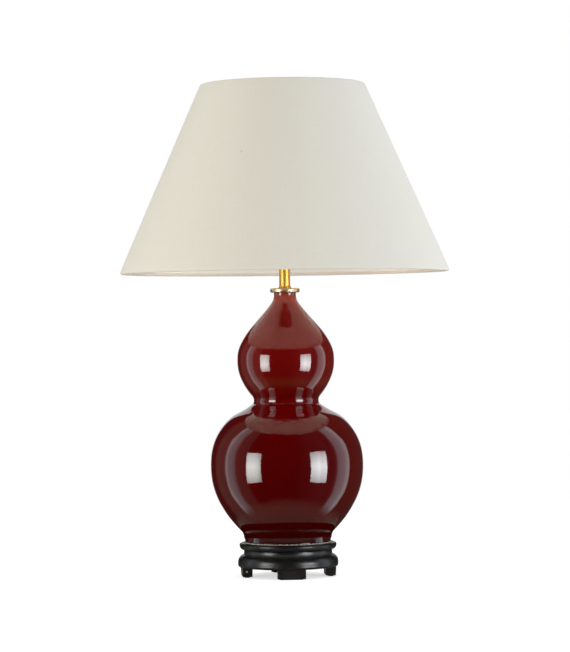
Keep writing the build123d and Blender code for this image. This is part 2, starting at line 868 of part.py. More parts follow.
for number in range(spider_arms):
    angle = spider_start + number * 360 / spider_arms
    with BuildPart() as spider_arm:
        route = arm_route(upright_plane(angle), 0)
        with BuildSketch(Plane(origin=route @ 0, z_dir=route % 0)):
            Circle(spider_wire_radius)
        sweep(path=route)
        with BuildSketch(Plane.XY.offset(arm_z - 2 * spider_wire_radius)):
            Circle(hub_radius + slip / 2)
        extrude(amount=4 * spider_wire_radius, mode=Mode.SUBTRACT)
        with Locations((0, 0, top_ring_z)):
            Torus(top_ring_centre[0], ring_wire_radius + slip / 2, mode=Mode.SUBTRACT)
    save(spider_arm, f"spider_arm_{number + 1}")

# ---------------------------------------------------------------------------------------------
# Shade
# ---------------------------------------------------------------------------------------------
for name, centre in {"bottom": bottom_ring_centre, "top": top_ring_centre}.items():
    with BuildPart() as shade_ring:
        with Locations((0, 0, centre[1])):
            Torus(centre[0], ring_wire_radius)
    save(shade_ring, f"shade_{name}_ring")


def shade_strip(low, high, near, far):
    """A strip of the shade's wall between two slope points, at depths under the outer face."""
    return [into_shade(low, near), into_shade(high, near), into_shade(high, far), into_shade(low, far)]


skin_foot = shade_point(bottom_ring_centre[1] + roll_radius * sin(shade_tilt), 0)
skin_head = shade_point(top_ring_centre[1] + roll_radius * sin(shade_tilt), 0)
liner_near = cover_cloth + layer_gap
liner_far = liner_near + liner_sheet
hem_near = liner_far + layer_gap
hem_far = hem_near + cover_cloth

with BuildPart() as shade_liner:
    with BuildSketch(Plane.XZ):
        with BuildLine():
            foot = along_shade(skin_foot, roll_radius + loose)
            head = along_shade(skin_head, -roll_radius - loose)
            Polyline(*shade_strip(foot, head, liner_near, liner_far), close=True)
        make_face()
    revolve(axis=Axis.Z)
save(shade_liner, "shade_liner")

with BuildPart() as shade_cover:
    with BuildSketch(Plane.XZ):
        with BuildLine():
            Polyline(*shade_strip(skin_foot, skin_head, 0, cover_cloth), close=True)
        make_face()
        with BuildLine():
            hem_head = along_shade(skin_foot, hem_width)
            Polyline(*shade_strip(skin_foot, hem_head, hem_near, hem_far), close=True)
        make_face()
        with BuildLine():
            hem_foot = along_shade(skin_head, -hem_width)
            Polyline(*shade_strip(hem_foot, skin_head, hem_near, hem_far), close=True)
        make_face()
        with Locations(bottom_ring_centre, top_ring_centre):
            Circle(roll_radius)
            Circle(roll_bore, mode=Mode.SUBTRACT)
    revolve(axis=Axis.Z)
    # A notch in the hem round each spider arm
    for number in range(spider_arms):
        angle = spider_start + number * 360 / spider_arms
        notch = arm_route(upright_plane(angle), spider_flat_end / 2)
        with BuildSketch(Plane(origin=notch @ 0, z_dir=notch % 0)):
            Circle(spider_wire_radius + arm_notch)
        sweep(path=notch, mode=Mode.SUBTRACT)
save(shade_cover, "shade_cover")

# ---------------------------------------------------------------------------------------------
# Lampholder
# ---------------------------------------------------------------------------------------------
with BuildPart() as holder_cap:
    with BuildSketch(Plane.XZ):
        with BuildLine():
            neck_top_z = holder_z + holder_cap_neck_height
            cup_z = holder_z + holder_cap_height - holder_cap_cup
            cup_top_z = holder_z + holder_cap_height
            cup_bore = shell_radius + slip
            Polyline(
                (rod_radius + slip, holder_z),
                (holder_cap_neck_radius, holder_z),
                (holder_cap_neck_radius, neck_top_z),
                (holder_cap_radius, cup_z),
                (holder_cap_radius, cup_top_z),
                (cup_bore, cup_top_z),
                (cup_bore, cup_z + holder_cap_wall),
                (holder_cap_neck_radius - holder_cap_wall, neck_top_z + holder_cap_wall),
                (rod_radius + slip, neck_top_z + holder_cap_wall),
                close=True,
            )
        make_face()
    revolve(axis=Axis.Z)
    with BuildSketch(Plane.XZ.offset(-rod_radius)):
        with Locations((0, holder_z + set_screw_height)):
            Circle(set_screw_radius + slip)
    extrude(amount=-holder_cap_neck_radius, mode=Mode.SUBTRACT)
save(holder_cap, "holder_cap")

with BuildPart() as holder_set_screw:
    with BuildSketch(Plane.XZ.offset(-rod_radius - slip)):
        with Locations((0, holder_z + set_screw_height)):
            Circle(set_screw_radius)
    extrude(amount=-(holder_cap_neck_radius - rod_radius + set_screw_tail))
save(holder_set_screw, "holder_set_screw")


def sleeve(outer, bore, bottom, length):
    """A round sleeve of the lampholder with a hole at the front for the switch's spindle."""
    with BuildPart() as piece:
        with BuildSketch(Plane.XY.offset(bottom)):
            Circle(outer)
            Circle(bore, mode=Mode.SUBTRACT)
        extrude(amount=length)
        with BuildSketch(Plane.XZ):
            with Locations((0, spindle_z)):
                Circle(spindle_radius + spindle_hole_slack)
        extrude(amount=outer + slip, mode=Mode.SUBTRACT)
    return piece


save(sleeve(shell_radius, shell_bore, shell_z, shell_length), "holder_shell")
save(sleeve(sleeve_radius, sleeve_bore, shell_z, shell_length), "holder_liner")

with BuildPart() as holder_core:
    with BuildSketch(Plane.XY.offset(core_z)):
        Circle(core_radius)
        Rectangle(2 * core_flat, 2 * core_radius, mode=Mode.INTERSECT)
    extrude(amount=core_height)
    with BuildSketch(Plane.XY.offset(core_top_z)):
        Circle(contact_pin_radius + running)
    extrude(amount=-contact_pin_length, mode=Mode.SUBTRACT)
    with BuildSketch(Plane.XZ.offset(core_radius - spindle_in_core)):
        with Locations((0, spindle_z)):
            Circle(spindle_radius + running)
    extrude(amount=spindle_in_core, mode=Mode.SUBTRACT)
    for side in (-1, 1):
        with BuildSketch(Plane.YZ.offset(side * core_flat)):
            with Locations((0, spindle_z)):
                Circle(terminal_shank_radius + slip)
        extrude(amount=-side * (terminal_shank_length + slip), mode=Mode.SUBTRACT)
save(holder_core, "holder_core")

with BuildPart() as terminal_screws:
    for side in (-1, 1):
        with BuildSketch(Plane.YZ.offset(side * core_flat)):
            with Locations((0, spindle_z)):
                Circle(terminal_shank_radius)
        extrude(amount=-side * terminal_shank_length)
        with BuildSketch(Plane.YZ.offset(side * core_flat)):
            with Locations((0, spindle_z)):
                Circle(terminal_head_radius)
        extrude(amount=side * terminal_head_height)
save(terminal_screws, "terminal_screws")

save(ring(screw_shell_radius, screw_shell_bore, core_top_z, screw_shell_length), "screw_shell")

with BuildPart() as centre_contact:
    with BuildSketch(Plane.XY.offset(contact_z)):
        Circle(contact_head_radius)
    extrude(amount=contact_head_height)
    with BuildSketch(Plane.XY.offset(contact_z)):
        Circle(contact_pin_radius)
    extrude(amount=-(contact_pin_length + contact_lift_off - loose))
save(centre_contact, "centre_contact")

# ---------------------------------------------------------------------------------------------
# Switch
# ---------------------------------------------------------------------------------------------
with BuildPart() as switch_spindle:
    with BuildSketch(Plane.XZ.offset(core_radius - spindle_in_core + loose)):
        with Locations((0, spindle_z)):
            Circle(spindle_radius)
    extrude(amount=knob_start + knob_socket_depth - core_radius + spindle_in_core - 2 * loose)
save(switch_spindle, "switch_spindle")

with BuildPart() as switch_knob:
    with BuildSketch(Plane.XZ.offset(knob_start)):
        with Locations((0, spindle_z)):
            Circle(knob_radius)
    extrude(amount=knob_length)
    fillet(switch_knob.faces().sort_by(Axis.Y)[0].edges(), radius=knob_flute_radius)
    with BuildSketch(Plane.XZ.offset(knob_start)):
        with Locations((0, spindle_z)):
            with PolarLocations(knob_radius + knob_flute_radius / 2, knob_flutes):
                Circle(knob_flute_radius)
    extrude(amount=knob_length, mode=Mode.SUBTRACT)
    with BuildSketch(Plane.XZ.offset(knob_start)):
        with Locations((0, spindle_z)):
            Circle(spindle_radius + slip)
    extrude(amount=knob_socket_depth, mode=Mode.SUBTRACT)
save(switch_knob, "switch_knob")

# ---------------------------------------------------------------------------------------------
# Bulb
# ---------------------------------------------------------------------------------------------
with BuildPart() as bulb_tip:
    with BuildSketch(Plane.XY.offset(tip_z)):
        Circle(tip_radius)
    extrude(amount=tip_height)
save(bulb_tip, "bulb_tip")

with BuildPart() as bulb_insulator:
    with BuildSketch(Plane.XY.offset(insulator_z)):
        Circle(tip_radius)
    with BuildSketch(Plane.XY.offset(bulb_cap_z)):
        Circle(bulb_cap_radius - bulb_cap_wall)
    loft()
save(bulb_insulator, "bulb_insulator")

save(ring(bulb_cap_radius, bulb_cap_radius - bulb_cap_wall, bulb_cap_z, bulb_cap_length), "bulb_cap")

with BuildPart() as bulb_glass:
    with BuildSketch(Plane.XZ):
        with BuildLine():
            neck_foot = (glass_neck_radius, glass_z)
            neck_head = (glass_neck_radius, bulb_cap_z + bulb_cap_length)
            widest = (glass_radius, glass_top_z - glass_centre)
            crown = (0, glass_top_z)
            Line(neck_foot, neck_head)
            flank = Spline(neck_head, widest, tangents=[(0, 1), (0, 1)])
            dome = RadiusArc(widest, crown, -glass_radius)
            Polyline(crown, (0, glass_top_z - glass_wall))
            RadiusArc((0, glass_top_z - glass_wall), inward(dome, 0, glass_wall), glass_radius - glass_wall)
            inner_flank = [inward(flank, step / inner_steps, glass_wall) for step in range(inner_steps + 1)]
            Spline(*inner_flank, tangents=[(0, 1), (0, 1)])
            Polyline(inner_flank[0], (glass_neck_radius - glass_wall, glass_z), neck_foot)
        make_face()
    revolve(axis=Axis.Z)
save(bulb_glass, "bulb_glass")

with BuildPart() as bulb_stem:
    with BuildSketch(Plane.XY.offset(glass_z)):
        Circle(stem_flare_radius)
    extrude(amount=stem_flare_height)
    with BuildSketch(Plane.XY.offset(glass_z)):
        Circle(stem_radius)
    extrude(amount=stem_length)
save(bulb_stem, "bulb_stem")

with BuildPart() as bulb_filament:
    stem_top_z = glass_z + stem_length
    with BuildLine(Plane.XZ) as filament_route:
        FilletPolyline(
            (-filament_foot / 2, stem_top_z),
            (-filament_span / 2, stem_top_z + filament_height),
            (filament_span / 2, stem_top_z + filament_height),
            (filament_foot / 2, stem_top_z),
            radius=filament_bend,
        )
    filament_start = filament_route.line
    with BuildSketch(Plane(origin=filament_start @ 0, z_dir=filament_start % 0)):
        Circle(filament_radius)
    sweep()
    split(bisect_by=Plane.XY.offset(stem_top_z), keep=Keep.TOP)
save(bulb_filament, "bulb_filament")
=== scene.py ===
"""A double gourd table lamp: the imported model, dressed, lit and framed as it was photographed.

Metres, +Z up, the origin on the table under the lamp's axis, the front towards -Y.
"""

import json
from math import atan, cos, pi, radians, sin

import bpy
from mathutils import Matrix, Vector


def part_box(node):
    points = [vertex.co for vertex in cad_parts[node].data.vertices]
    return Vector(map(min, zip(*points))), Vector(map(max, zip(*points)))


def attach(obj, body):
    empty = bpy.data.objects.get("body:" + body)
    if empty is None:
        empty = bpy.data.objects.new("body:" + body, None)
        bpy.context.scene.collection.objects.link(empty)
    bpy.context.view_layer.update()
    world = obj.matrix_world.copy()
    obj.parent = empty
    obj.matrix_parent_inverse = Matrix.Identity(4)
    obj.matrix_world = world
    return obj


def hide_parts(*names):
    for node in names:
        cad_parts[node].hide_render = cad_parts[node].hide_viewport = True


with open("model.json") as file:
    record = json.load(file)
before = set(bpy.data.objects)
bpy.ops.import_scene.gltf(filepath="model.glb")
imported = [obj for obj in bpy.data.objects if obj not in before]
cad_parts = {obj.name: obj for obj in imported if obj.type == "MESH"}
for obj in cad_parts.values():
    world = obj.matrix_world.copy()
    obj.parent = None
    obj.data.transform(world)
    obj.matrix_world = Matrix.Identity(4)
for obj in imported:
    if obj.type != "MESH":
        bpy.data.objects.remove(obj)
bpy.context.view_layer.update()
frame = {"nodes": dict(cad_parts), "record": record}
scene = bpy.context.scene
mm = 0.001

# ---------------------------------------------------------------------------------------------
# Camera: level and straight in front, with the slight roll of the photograph
# ---------------------------------------------------------------------------------------------
camera_distance = 3.75
camera_height = 0.3473
camera_side = -0.0004
camera_roll = radians(0.72)

camera = bpy.data.objects.new("camera", bpy.data.cameras.new("camera"))
scene.collection.objects.link(camera)
camera.data.sensor_fit = "VERTICAL"
camera.data.sensor_height = 36.0
camera.data.lens = 149.0
camera.data.clip_start = 0.1
camera.data.clip_end = 50.0
camera.matrix_world = Matrix(
    (
        (cos(camera_roll), sin(camera_roll), 0.0, camera_side),
        (0.0, 0.0, -1.0, -camera_distance),
        (-sin(camera_roll), cos(camera_roll), 0.0, camera_height),
        (0.0, 0.0, 0.0, 1.0),
    )
)
scene.camera = camera
scene.view_settings.view_transform = "Standard"


# ---------------------------------------------------------------------------------------------
# Node trees
# ---------------------------------------------------------------------------------------------
class Net:
    """A node tree, with short calls for the nodes that a material or a world is made of."""

    def __init__(self, tree):
        self.tree = tree

    def fill(self, socket, value):
        if isinstance(value, bpy.types.NodeSocket):
            self.tree.links.new(value, socket)
        elif isinstance(value, tuple) and len(value) == 3 and socket.type == "RGBA":
            socket.default_value = (*value, 1.0)
        else:
            socket.default_value = value

    def add(self, kind, inputs=None, out=0, **settings):
        """Adds a node, fills its inputs with numbers or links and returns one of its outputs."""
        node = self.tree.nodes.new("ShaderNode" + kind)
        for name, value in settings.items():
            setattr(node, name, value)
        for key, value in (inputs or {}).items():
            self.fill(node.inputs[key], value)
        return node.outputs[out]

    def math(self, operation, *values):
        return self.add("Math", dict(enumerate(values)), operation=operation)

    def place(self):
        """The point on the part at rest."""
        return self.add("TexCoord", out="Object")

    def axes(self, vector):
        """The x, y and z of a vector."""
        return tuple(self.add("SeparateXYZ", {0: vector}).node.outputs)

    def noise(self, vector, scale, detail=2.0, roughness=0.5):
        inputs = {"Vector": vector, "Scale": scale, "Detail": detail, "Roughness": roughness}
        return self.add("TexNoise", inputs)

    def stretch(self, vector, scale):
        return self.add("Mapping", {"Vector": vector, "Scale": scale}, vector_type="POINT")

    def spread(self, value, low, high, new_low=0.0, new_high=1.0):
        """Maps a range of values to another and holds it there."""
        inputs = {0: value, 1: low, 2: high, 3: new_low, 4: new_high}
        return self.add("MapRange", inputs, clamp=True)

    def ease(self, value, low, high):
        """A smooth step from 0 at low to 1 at high."""
        inputs = {0: value, 1: low, 2: high, 3: 0.0, 4: 1.0}
        return self.add("MapRange", inputs, interpolation_type="SMOOTHSTEP")

    def ramp(self, value, stops):
        """A run of colours, each at its own place from 0 to 1."""
        node = self.add("ValToRGB", {0: value}).node
        elements = node.color_ramp.elements
        while len(elements) < len(stops):
            elements.new(0.5)
        for element, (place, colour) in zip(elements, stops):
            element.position = place
            element.color = (*colour, 1.0)
        return node.outputs[0]

    def mix(self, factor, first, second):
        """The first colour at 0 and the second at 1."""
        node = self.add("Mix", data_type="RGBA").node
        for index, value in ((0, factor), (6, first), (7, second)):
            self.fill(node.inputs[index], value)
        return node.outputs[2]

    def mix_values(self, factor, first, second):
        return self.add("Mix", {0: factor, 2: first, 3: second}, data_type="FLOAT")

    def spot(self, place, centre, radius, edge):
        """1 within a radius of a point, falling to 0 over an edge."""
        inputs = {0: place, 1: centre}
        far = self.add("VectorMath", inputs, out="Value", operation="DISTANCE")
        return self.spread(far, radius, radius + edge, 1.0, 0.0)

    def bump(self, height, distance, strength=1.0, normal=None):
        inputs = {"Height": height, "Distance": distance, "Strength": strength}
        if normal is not None:
            inputs["Normal"] = normal
        return self.add("Bump", inputs)


class Material(Net):
    """A new material, with its main shader and its output at hand."""

    def __init__(self, name):
        self.material = bpy.data.materials.new(name)
        self.material.use_nodes = True
        super().__init__(self.material.node_tree)
        self.shader = self.tree.nodes["Principled BSDF"]
        self.output = self.tree.nodes["Material Output"]

    def finish(self, **inputs):
        """Fills the main shader's sockets, whose names are written with _ for a space."""
        for name, value in inputs.items():
            self.fill(self.shader.inputs[name.replace("_", " ")], value)
        return self.material

    def show(self, shader):
        """Puts another shader in the main one's place."""
        self.fill(self.output.inputs["Surface"], shader)
        return self.material


# ---------------------------------------------------------------------------------------------
# Glaze
# ---------------------------------------------------------------------------------------------
glaze_foot, glaze_top = 0.0018, 0.4018
clay_low, clay_high = 0.0494, 0.0498
luting_height, luting_half = 0.2395, 0.0011


def oxblood_glaze():
    net = Material("oxblood_glaze")
    place = net.place()
    z = net.axes(place)[2]
    # The copper red is deep low down, where the glaze pools, and darker still towards the foot
    # The brownish band under the upper bulb is a painted reflection, and the rust at the neck is a
    # painted reflection of the lit shade inside
    colour = net.ramp(
        net.spread(z, glaze_foot, glaze_top),
        [
            (0.100, (0.030, 0.0012, 0.0010)),
            (0.155, (0.045, 0.0012, 0.0010)),
            (0.250, (0.078, 0.0003, 0.0003)),
            (0.500, (0.088, 0.0002, 0.0003)),
            (0.590, (0.124, 0.0005, 0.0006)),
            (0.648, (0.138, 0.0030, 0.0016)),
            # painted reflection: a brownish glow under the upper bulb
            (0.670, (0.148, 0.0130, 0.0050)),
            (0.695, (0.142, 0.0026, 0.0018)),
            (0.780, (0.144, 0.0026, 0.0018)),
            (0.900, (0.152, 0.0050, 0.0030)),
            # painted reflection of the lit shade inside, lightening the neck to rust
            (0.940, (0.210, 0.0120, 0.0070)),
            (0.962, (0.320, 0.0280, 0.0150)),
            (0.979, (0.360, 0.0520, 0.0280)),
        ],
    )
    clouds = net.noise(net.stretch(place, (1.0, 1.0, 0.45)), 26.0, 5.0, 0.6)
    flecks = net.noise(place, 900.0)
    colour = net.mix(net.spread(clouds, 0.35, 0.7, 0.0, 0.22), colour, (0.035, 0.0004, 0.0004))
    colour = net.mix(net.spread(flecks, 0.66, 0.8, 0.0, 0.18), colour, (0.26, 0.02, 0.012))
    # The bare clay of the foot ring, whose ragged edge just shows over the lip of the stand
    ragged = net.math("MULTIPLY", net.noise(place, 420.0), 3.0 * mm)
    clay = net.spread(net.math("ADD", z, ragged), clay_low, clay_high, 1.0, 0.0)
    colour = net.mix(clay, colour, (0.56, 0.49, 0.43))
    polish = net.spread(net.noise(place, 60.0, 3.0), 0.3, 0.7, 0.035, 0.065)
    gloss = net.mix_values(clay, polish, 0.85)
    # Slow waves left by throwing, a fine orange peel, and the line where the halves are luted
    waves = net.bump(net.noise(net.stretch(place, (1.0, 1.0, 2.2)), 16.0, 1.0), 0.7 * mm, 0.5)
    peel = net.bump(net.noise(place, 420.0, 1.0), 0.02 * mm, 0.5, waves)
    line = net.math("ABSOLUTE", net.math("SUBTRACT", z, luting_height))
    luting = net.bump(net.ease(line, 0.0, luting_half), 0.6 * mm, 0.8, peel)
    return net.finish(
        Base_Color=colour, Roughness=gloss, IOR=1.5, Specular_IOR_Level=0.5, Normal=luting
    )


# ---------------------------------------------------------------------------------------------
# Wood
# ---------------------------------------------------------------------------------------------
hollow_rise, hollow_fall = (0.0285, 0.0318), (0.0330, 0.0352)
foot_top = (0.0130, 0.0142)
scuff_centre, scuff_radius, scuff_edge = (0.0040, -0.0652, 0.0080), 6.0 * mm, 5.0 * mm
pin_centre, pin_radius, pin_edge = (0.0142, -0.0642, 0.0096), 1.3 * mm, 0.6 * mm
chip_centre, chip_radius, chip_edge = (-0.0574, -0.0228, 0.0085), 1.2 * mm, 0.8 * mm


def ebonised_wood():
    net = Material("ebonised_wood")
    place = net.place()
    z = net.axes(place)[2]
    grain = net.noise(net.stretch(place, (14.0, 160.0, 160.0)), 3.0, 6.0, 0.65)
    pores = net.noise(net.stretch(place, (60.0, 1100.0, 1100.0)), 1.0, 3.0, 0.6)
    brushed = net.noise(net.stretch(place, (30.0, 30.0, 420.0)), 2.0, 3.0, 0.6)
    colour = net.ramp(
        grain,
        [
            (0.30, (0.0040, 0.0038, 0.0040)),
            (0.55, (0.0070, 0.0066, 0.0067)),
            (0.75, (0.0120, 0.0108, 0.0103)),
        ],
    )
    colour = net.mix(net.spread(pores, 0.60, 0.70, 0.0, 0.55), colour, (0.006, 0.0055, 0.005))
    # Rubbed edges, where the stain is thin
    edge = net.spread(net.add("NewGeometry", out="Pointiness"), 0.52, 0.60, 0.0, 0.6)
    worn = net.spread(net.noise(place, 240.0, 4.0), 0.42, 0.62)
    colour = net.mix(net.math("MULTIPLY", edge, worn), colour, (0.075, 0.055, 0.042))
    # A painted sheen, lighter in streaks, lightens the hollow over the base moulding, and painted
    # shade makes the feet blackest
    streaks = net.noise(net.stretch(place, (18.0, 18.0, 900.0)), 1.0, 4.0, 0.6)
    under = net.math("SUBTRACT", 1.0, net.ease(z, *hollow_fall))
    hollow = net.math("MULTIPLY", net.ease(z, *hollow_rise), under)
    # Painted sheen: light caught on the upward face of the hollow
    painted_sheen = net.math("MULTIPLY", hollow, net.spread(streaks, 0.30, 0.62, 0.25, 1.0))
    colour = net.mix(painted_sheen, colour, (0.040, 0.039, 0.039))
    # Painted shade on the feet, below the moulding
    colour = net.mix(net.spread(z, *foot_top, 0.8, 0.0), colour, (0.0016, 0.0018, 0.0022))
    # Scuffed black touch-up on the front foot, a filled pin hole beside it, a chip on the left
    scuff = net.math(
        "MULTIPLY",
        net.spot(place, scuff_centre, scuff_radius, scuff_edge),
        net.spread(net.noise(place, 700.0, 5.0, 0.7), 0.46, 0.52),
    )
    pin = net.spot(place, pin_centre, pin_radius, pin_edge)
    chip = net.math(
        "MULTIPLY",
        net.spot(place, chip_centre, chip_radius, chip_edge),
        net.spread(net.noise(place, 1500.0), 0.30, 0.40),
    )
    colour = net.mix(scuff, colour, (0.0035, 0.0035, 0.0040))
    colour = net.mix(pin, colour, (0.0030, 0.0030, 0.0030))
    colour = net.mix(chip, colour, (0.62, 0.61, 0.58))
    sheen = net.spread(brushed, 0.3, 0.7, 0.24, 0.42)
    sheen = net.math("ADD", sheen, net.math("MULTIPLY", scuff, 0.25))
    rough = net.bump(pores, 0.1 * mm, 0.5)
    dents = net.noise(net.stretch(place, (1.0, 1.0, 5.0)), 55.0, 3.0)
    return net.finish(
        Base_Color=colour,
        Roughness=sheen,
        IOR=1.42,
        Specular_Tint=(1.0, 0.94, 0.95, 1.0),
        Normal=net.bump(dents, 0.6 * mm, 0.35, rough),
    )


def plain_wood(name, pale, dark, scale):
    net = Material(name)
    grain = net.noise(net.stretch(net.place(), scale), 1.0, 5.0, 0.6)
    colour = net.ramp(grain, [(0.3, dark), (0.7, pale)])
    return net.finish(Base_Color=colour, Roughness=0.62, Normal=net.bump(grain, 0.1 * mm, 0.4))


# ---------------------------------------------------------------------------------------------
# Metals
# ---------------------------------------------------------------------------------------------
def metal(name, colour, tarnish, polish, lines=0.0):
    """A metal with faint tarnish, a smear of fingerprints and, if asked, fine turning lines."""
    net = Material(name)
    place = net.place()
    cloud = net.noise(place, 90.0, 5.0, 0.65)
    shade = net.mix(net.spread(cloud, 0.42, 0.72), colour, tarnish)
    prints = net.noise(place, 260.0, 4.0, 0.7)
    smear = net.spread(prints, 0.35, 0.75, polish, polish * 2.1 + 0.02)
    scratch = net.noise(net.stretch(place, (300.0, 300.0, 9000.0)), 1.0)
    normal = net.bump(scratch, 0.008 * mm, lines)
    return net.finish(Base_Color=shade, Metallic=1.0, Roughness=smear, Normal=normal)


# ---------------------------------------------------------------------------------------------
# Shade
# ---------------------------------------------------------------------------------------------
shade_foot = 0.4209
shade_height = 0.2623
shade_radius, shade_top_radius = 0.2299, 0.1143
shade_lean = (shade_radius - shade_top_radius) / shade_height
shade_tilt = atan(shade_lean)
shade_apex = shade_foot + shade_radius / shade_lean


def shade_fabric(name, colour, slub):
    """Plain woven cloth, its threads straight in the flat piece that the cone was cut from."""
    net = Material(name)
    place = net.place()
    x, y, z = net.axes(place)
    turn = net.math("ARCTAN2", x, net.math("MULTIPLY", y, -1.0))
    flat_turn = net.math("MULTIPLY", turn, sin(shade_tilt))
    below_apex = net.math("SUBTRACT", shade_apex, z)
    reach = net.math("DIVIDE", below_apex, cos(shade_tilt))
    across = net.math("MULTIPLY", reach, net.math("SINE", flat_turn))
    down = net.math("MULTIPLY", reach, net.math("COSINE", flat_turn))

    def thread(along_x, along_y):
        inputs = {0: net.math("MULTIPLY", across, along_x), 1: net.math("MULTIPLY", down, along_y)}
        return net.noise(net.add("CombineXYZ", inputs), 1.0)

    weft = thread(34.0, 1900.0)
    warp = thread(1900.0, 34.0)
    threads = net.math("ADD", weft, warp)
    cloud = net.math("MULTIPLY", net.noise(place, 9.0, 3.0), 0.15)
    tone = net.spread(net.math("ADD", threads, cloud), 0.85, 1.3)
    darker = tuple(channel * (1.0 - slub) for channel in colour)
    fabric = net.mix(tone, darker, colour)
    # Inside, the roll round the wire is the cloth's raw back, darkened further by painted shade,
    # and the hem above it is sized white
    squares = net.math("ADD", net.math("MULTIPLY", x, x), net.math("MULTIPLY", y, y))
    wall = net.math("MULTIPLY", below_apex, shade_lean)
    behind_wall = net.math("SUBTRACT", wall, net.math("SQRT", squares))
    inside = net.spread(behind_wall, 2.4 * mm, 3.0 * mm)
    sized = net.spread(z, shade_foot + 4.4 * mm, shade_foot + 5.2 * mm)
    inner_hem_with_painted_shade = net.mix(sized, (0.74, 0.66, 0.59), (0.87, 0.85, 0.81))
    fabric = net.mix(inside, fabric, inner_hem_with_painted_shade)
    # A stray fibre caught under the cloth
    speck = net.spot(place, (-0.0554, -0.1494, 0.5809), 0.9 * mm, 1.2 * mm)
    fabric = net.mix(net.math("MULTIPLY", speck, 0.35), fabric, (0.42, 0.42, 0.40))
    return net.finish(
        Base_Color=fabric,
        Roughness=0.88,
        Sheen_Weight=0.12,
        Sheen_Roughness=0.5,
        Normal=net.bump(threads, 0.05 * mm, 0.5),
    )


# ---------------------------------------------------------------------------------------------
# Plastics, rubber, glass and soft parts
# ---------------------------------------------------------------------------------------------
def moulded(name, colour, roughness, grit=0.03 * mm, coat=0.0):
    net = Material(name)
    place = net.place()
    fine = net.noise(place, 1400.0, 3.0)
    cloud = net.noise(place, 70.0, 4.0)
    lighter = tuple(min(1.0, channel * 1.25 + 0.004) for channel in colour)
    shade = net.mix(net.spread(cloud, 0.4, 0.75), colour, lighter)
    level = net.spread(cloud, 0.3, 0.7, roughness * 0.85, min(1.0, roughness * 1.15))
    normal = net.bump(fine, grit, 0.5)
    return net.finish(Base_Color=shade, Roughness=level, Coat_Weight=coat, Normal=normal)


def felt(name, colour):
    net = Material(name)
    place = net.place()
    fibres = net.noise(place, 2600.0, 6.0, 0.75)
    tufts = net.noise(place, 380.0, 4.0)
    pale = tuple(channel * 2.2 + 0.01 for channel in colour)
    return net.finish(
        Base_Color=net.mix(net.spread(fibres, 0.4, 0.75), colour, pale),
        Roughness=0.96,
        Sheen_Weight=0.4,
        Sheen_Roughness=0.6,
        Normal=net.bump(net.math("ADD", fibres, tufts), 0.3 * mm, 0.8),
    )


def glass(name, colour, roughness, transmission, ripple=0.4):
    net = Material(name)
    place = net.place()
    cloud = net.noise(place, 120.0, 3.0)
    darker = tuple(channel * 0.97 for channel in colour)
    return net.finish(
        Base_Color=net.mix(net.spread(cloud, 0.4, 0.7), colour, darker),
        Roughness=net.spread(cloud, 0.3, 0.7, roughness * 0.8, roughness * 1.2),
        IOR=1.5,
        Transmission_Weight=transmission,
        Normal=net.bump(net.noise(place, 60.0, 1.0), 0.03 * mm, ripple),
    )


dowel_grain, board_grain = (300.0, 300.0, 18.0), (420.0, 420.0, 420.0)
materials = {
    "oxblood_glaze": oxblood_glaze(),
    "ebonised_wood": ebonised_wood(),
    "dowel_wood": plain_wood("dowel_wood", (0.60, 0.43, 0.26), (0.44, 0.29, 0.16), dowel_grain),
    "hardboard": plain_wood("hardboard", (0.12, 0.075, 0.045), (0.07, 0.042, 0.026), board_grain),
    "felt": felt("felt", (0.012, 0.012, 0.013)),
    "zinc_steel": metal("zinc_steel", (0.66, 0.67, 0.66), (0.50, 0.50, 0.47), 0.22, 0.5),
    "brass": metal("brass", (0.58, 0.312, 0.068), (0.49, 0.25, 0.050), 0.29, 0.4),
    "pale_brass": metal("pale_brass", (0.58, 0.415, 0.245), (0.48, 0.32, 0.175), 0.26, 0.4),
    "harp_brass": metal("harp_brass", (0.78, 0.56, 0.24), (0.60, 0.41, 0.16), 0.16, 0.3),
    "black_plastic": moulded("black_plastic", (0.016, 0.015, 0.014), 0.34),
    "rubber": moulded("rubber", (0.022, 0.022, 0.022), 0.75, 0.06 * mm),
    "card": moulded("card", (0.24, 0.165, 0.10), 0.85, 0.08 * mm),
    "white_wire": moulded("white_wire", (0.80, 0.80, 0.78), 0.35, 0.02 * mm, 0.3),
    "styrene": moulded("styrene", (0.87, 0.84, 0.77), 0.42, 0.02 * mm),
    "ivory_cloth": shade_fabric("ivory_cloth", (0.80, 0.775, 0.700), 0.04),
    "solder": metal("solder", (0.52, 0.52, 0.54), (0.36, 0.36, 0.37), 0.30),
    "black_glass": moulded("black_glass", (0.012, 0.012, 0.016), 0.12),
    "cap_metal": metal("cap_metal", (0.78, 0.78, 0.79), (0.62, 0.62, 0.62), 0.18),
    "opal_glass": glass("opal_glass", (0.90, 0.90, 0.87), 0.30, 0.0, 0.2),
    "clear_glass": glass("clear_glass", (0.92, 0.95, 0.94), 0.03, 0.95),
    "tungsten": metal("tungsten", (0.34, 0.33, 0.32), (0.22, 0.21, 0.20), 0.25),
}

for subpart in frame["record"]["subparts"]:
    piece = frame["nodes"][subpart["node"]]
    piece.data.materials.clear()
    piece.data.materials.append(materials[subpart["material_slot"]])


# ---------------------------------------------------------------------------------------------
# Meshes
# ---------------------------------------------------------------------------------------------
def mesh_object(name, vertices, faces, material):
    mesh = bpy.data.meshes.new(name)
    mesh.from_pydata(vertices, [], faces)
    mesh.update()
    mesh.materials.append(material)
    thing = bpy.data.objects.new(name, mesh)
    scene.collection.objects.link(thing)
    return thing


def mesh_piece(name, vertices, faces, slot, body, smooth=True):
    """A new piece, in its place, with a material and the body that it moves with."""
    piece = mesh_object(name, vertices, faces, materials[slot])
    for polygon in piece.data.polygons:
        polygon.use_smooth = smooth
    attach(piece, body)
    return piece


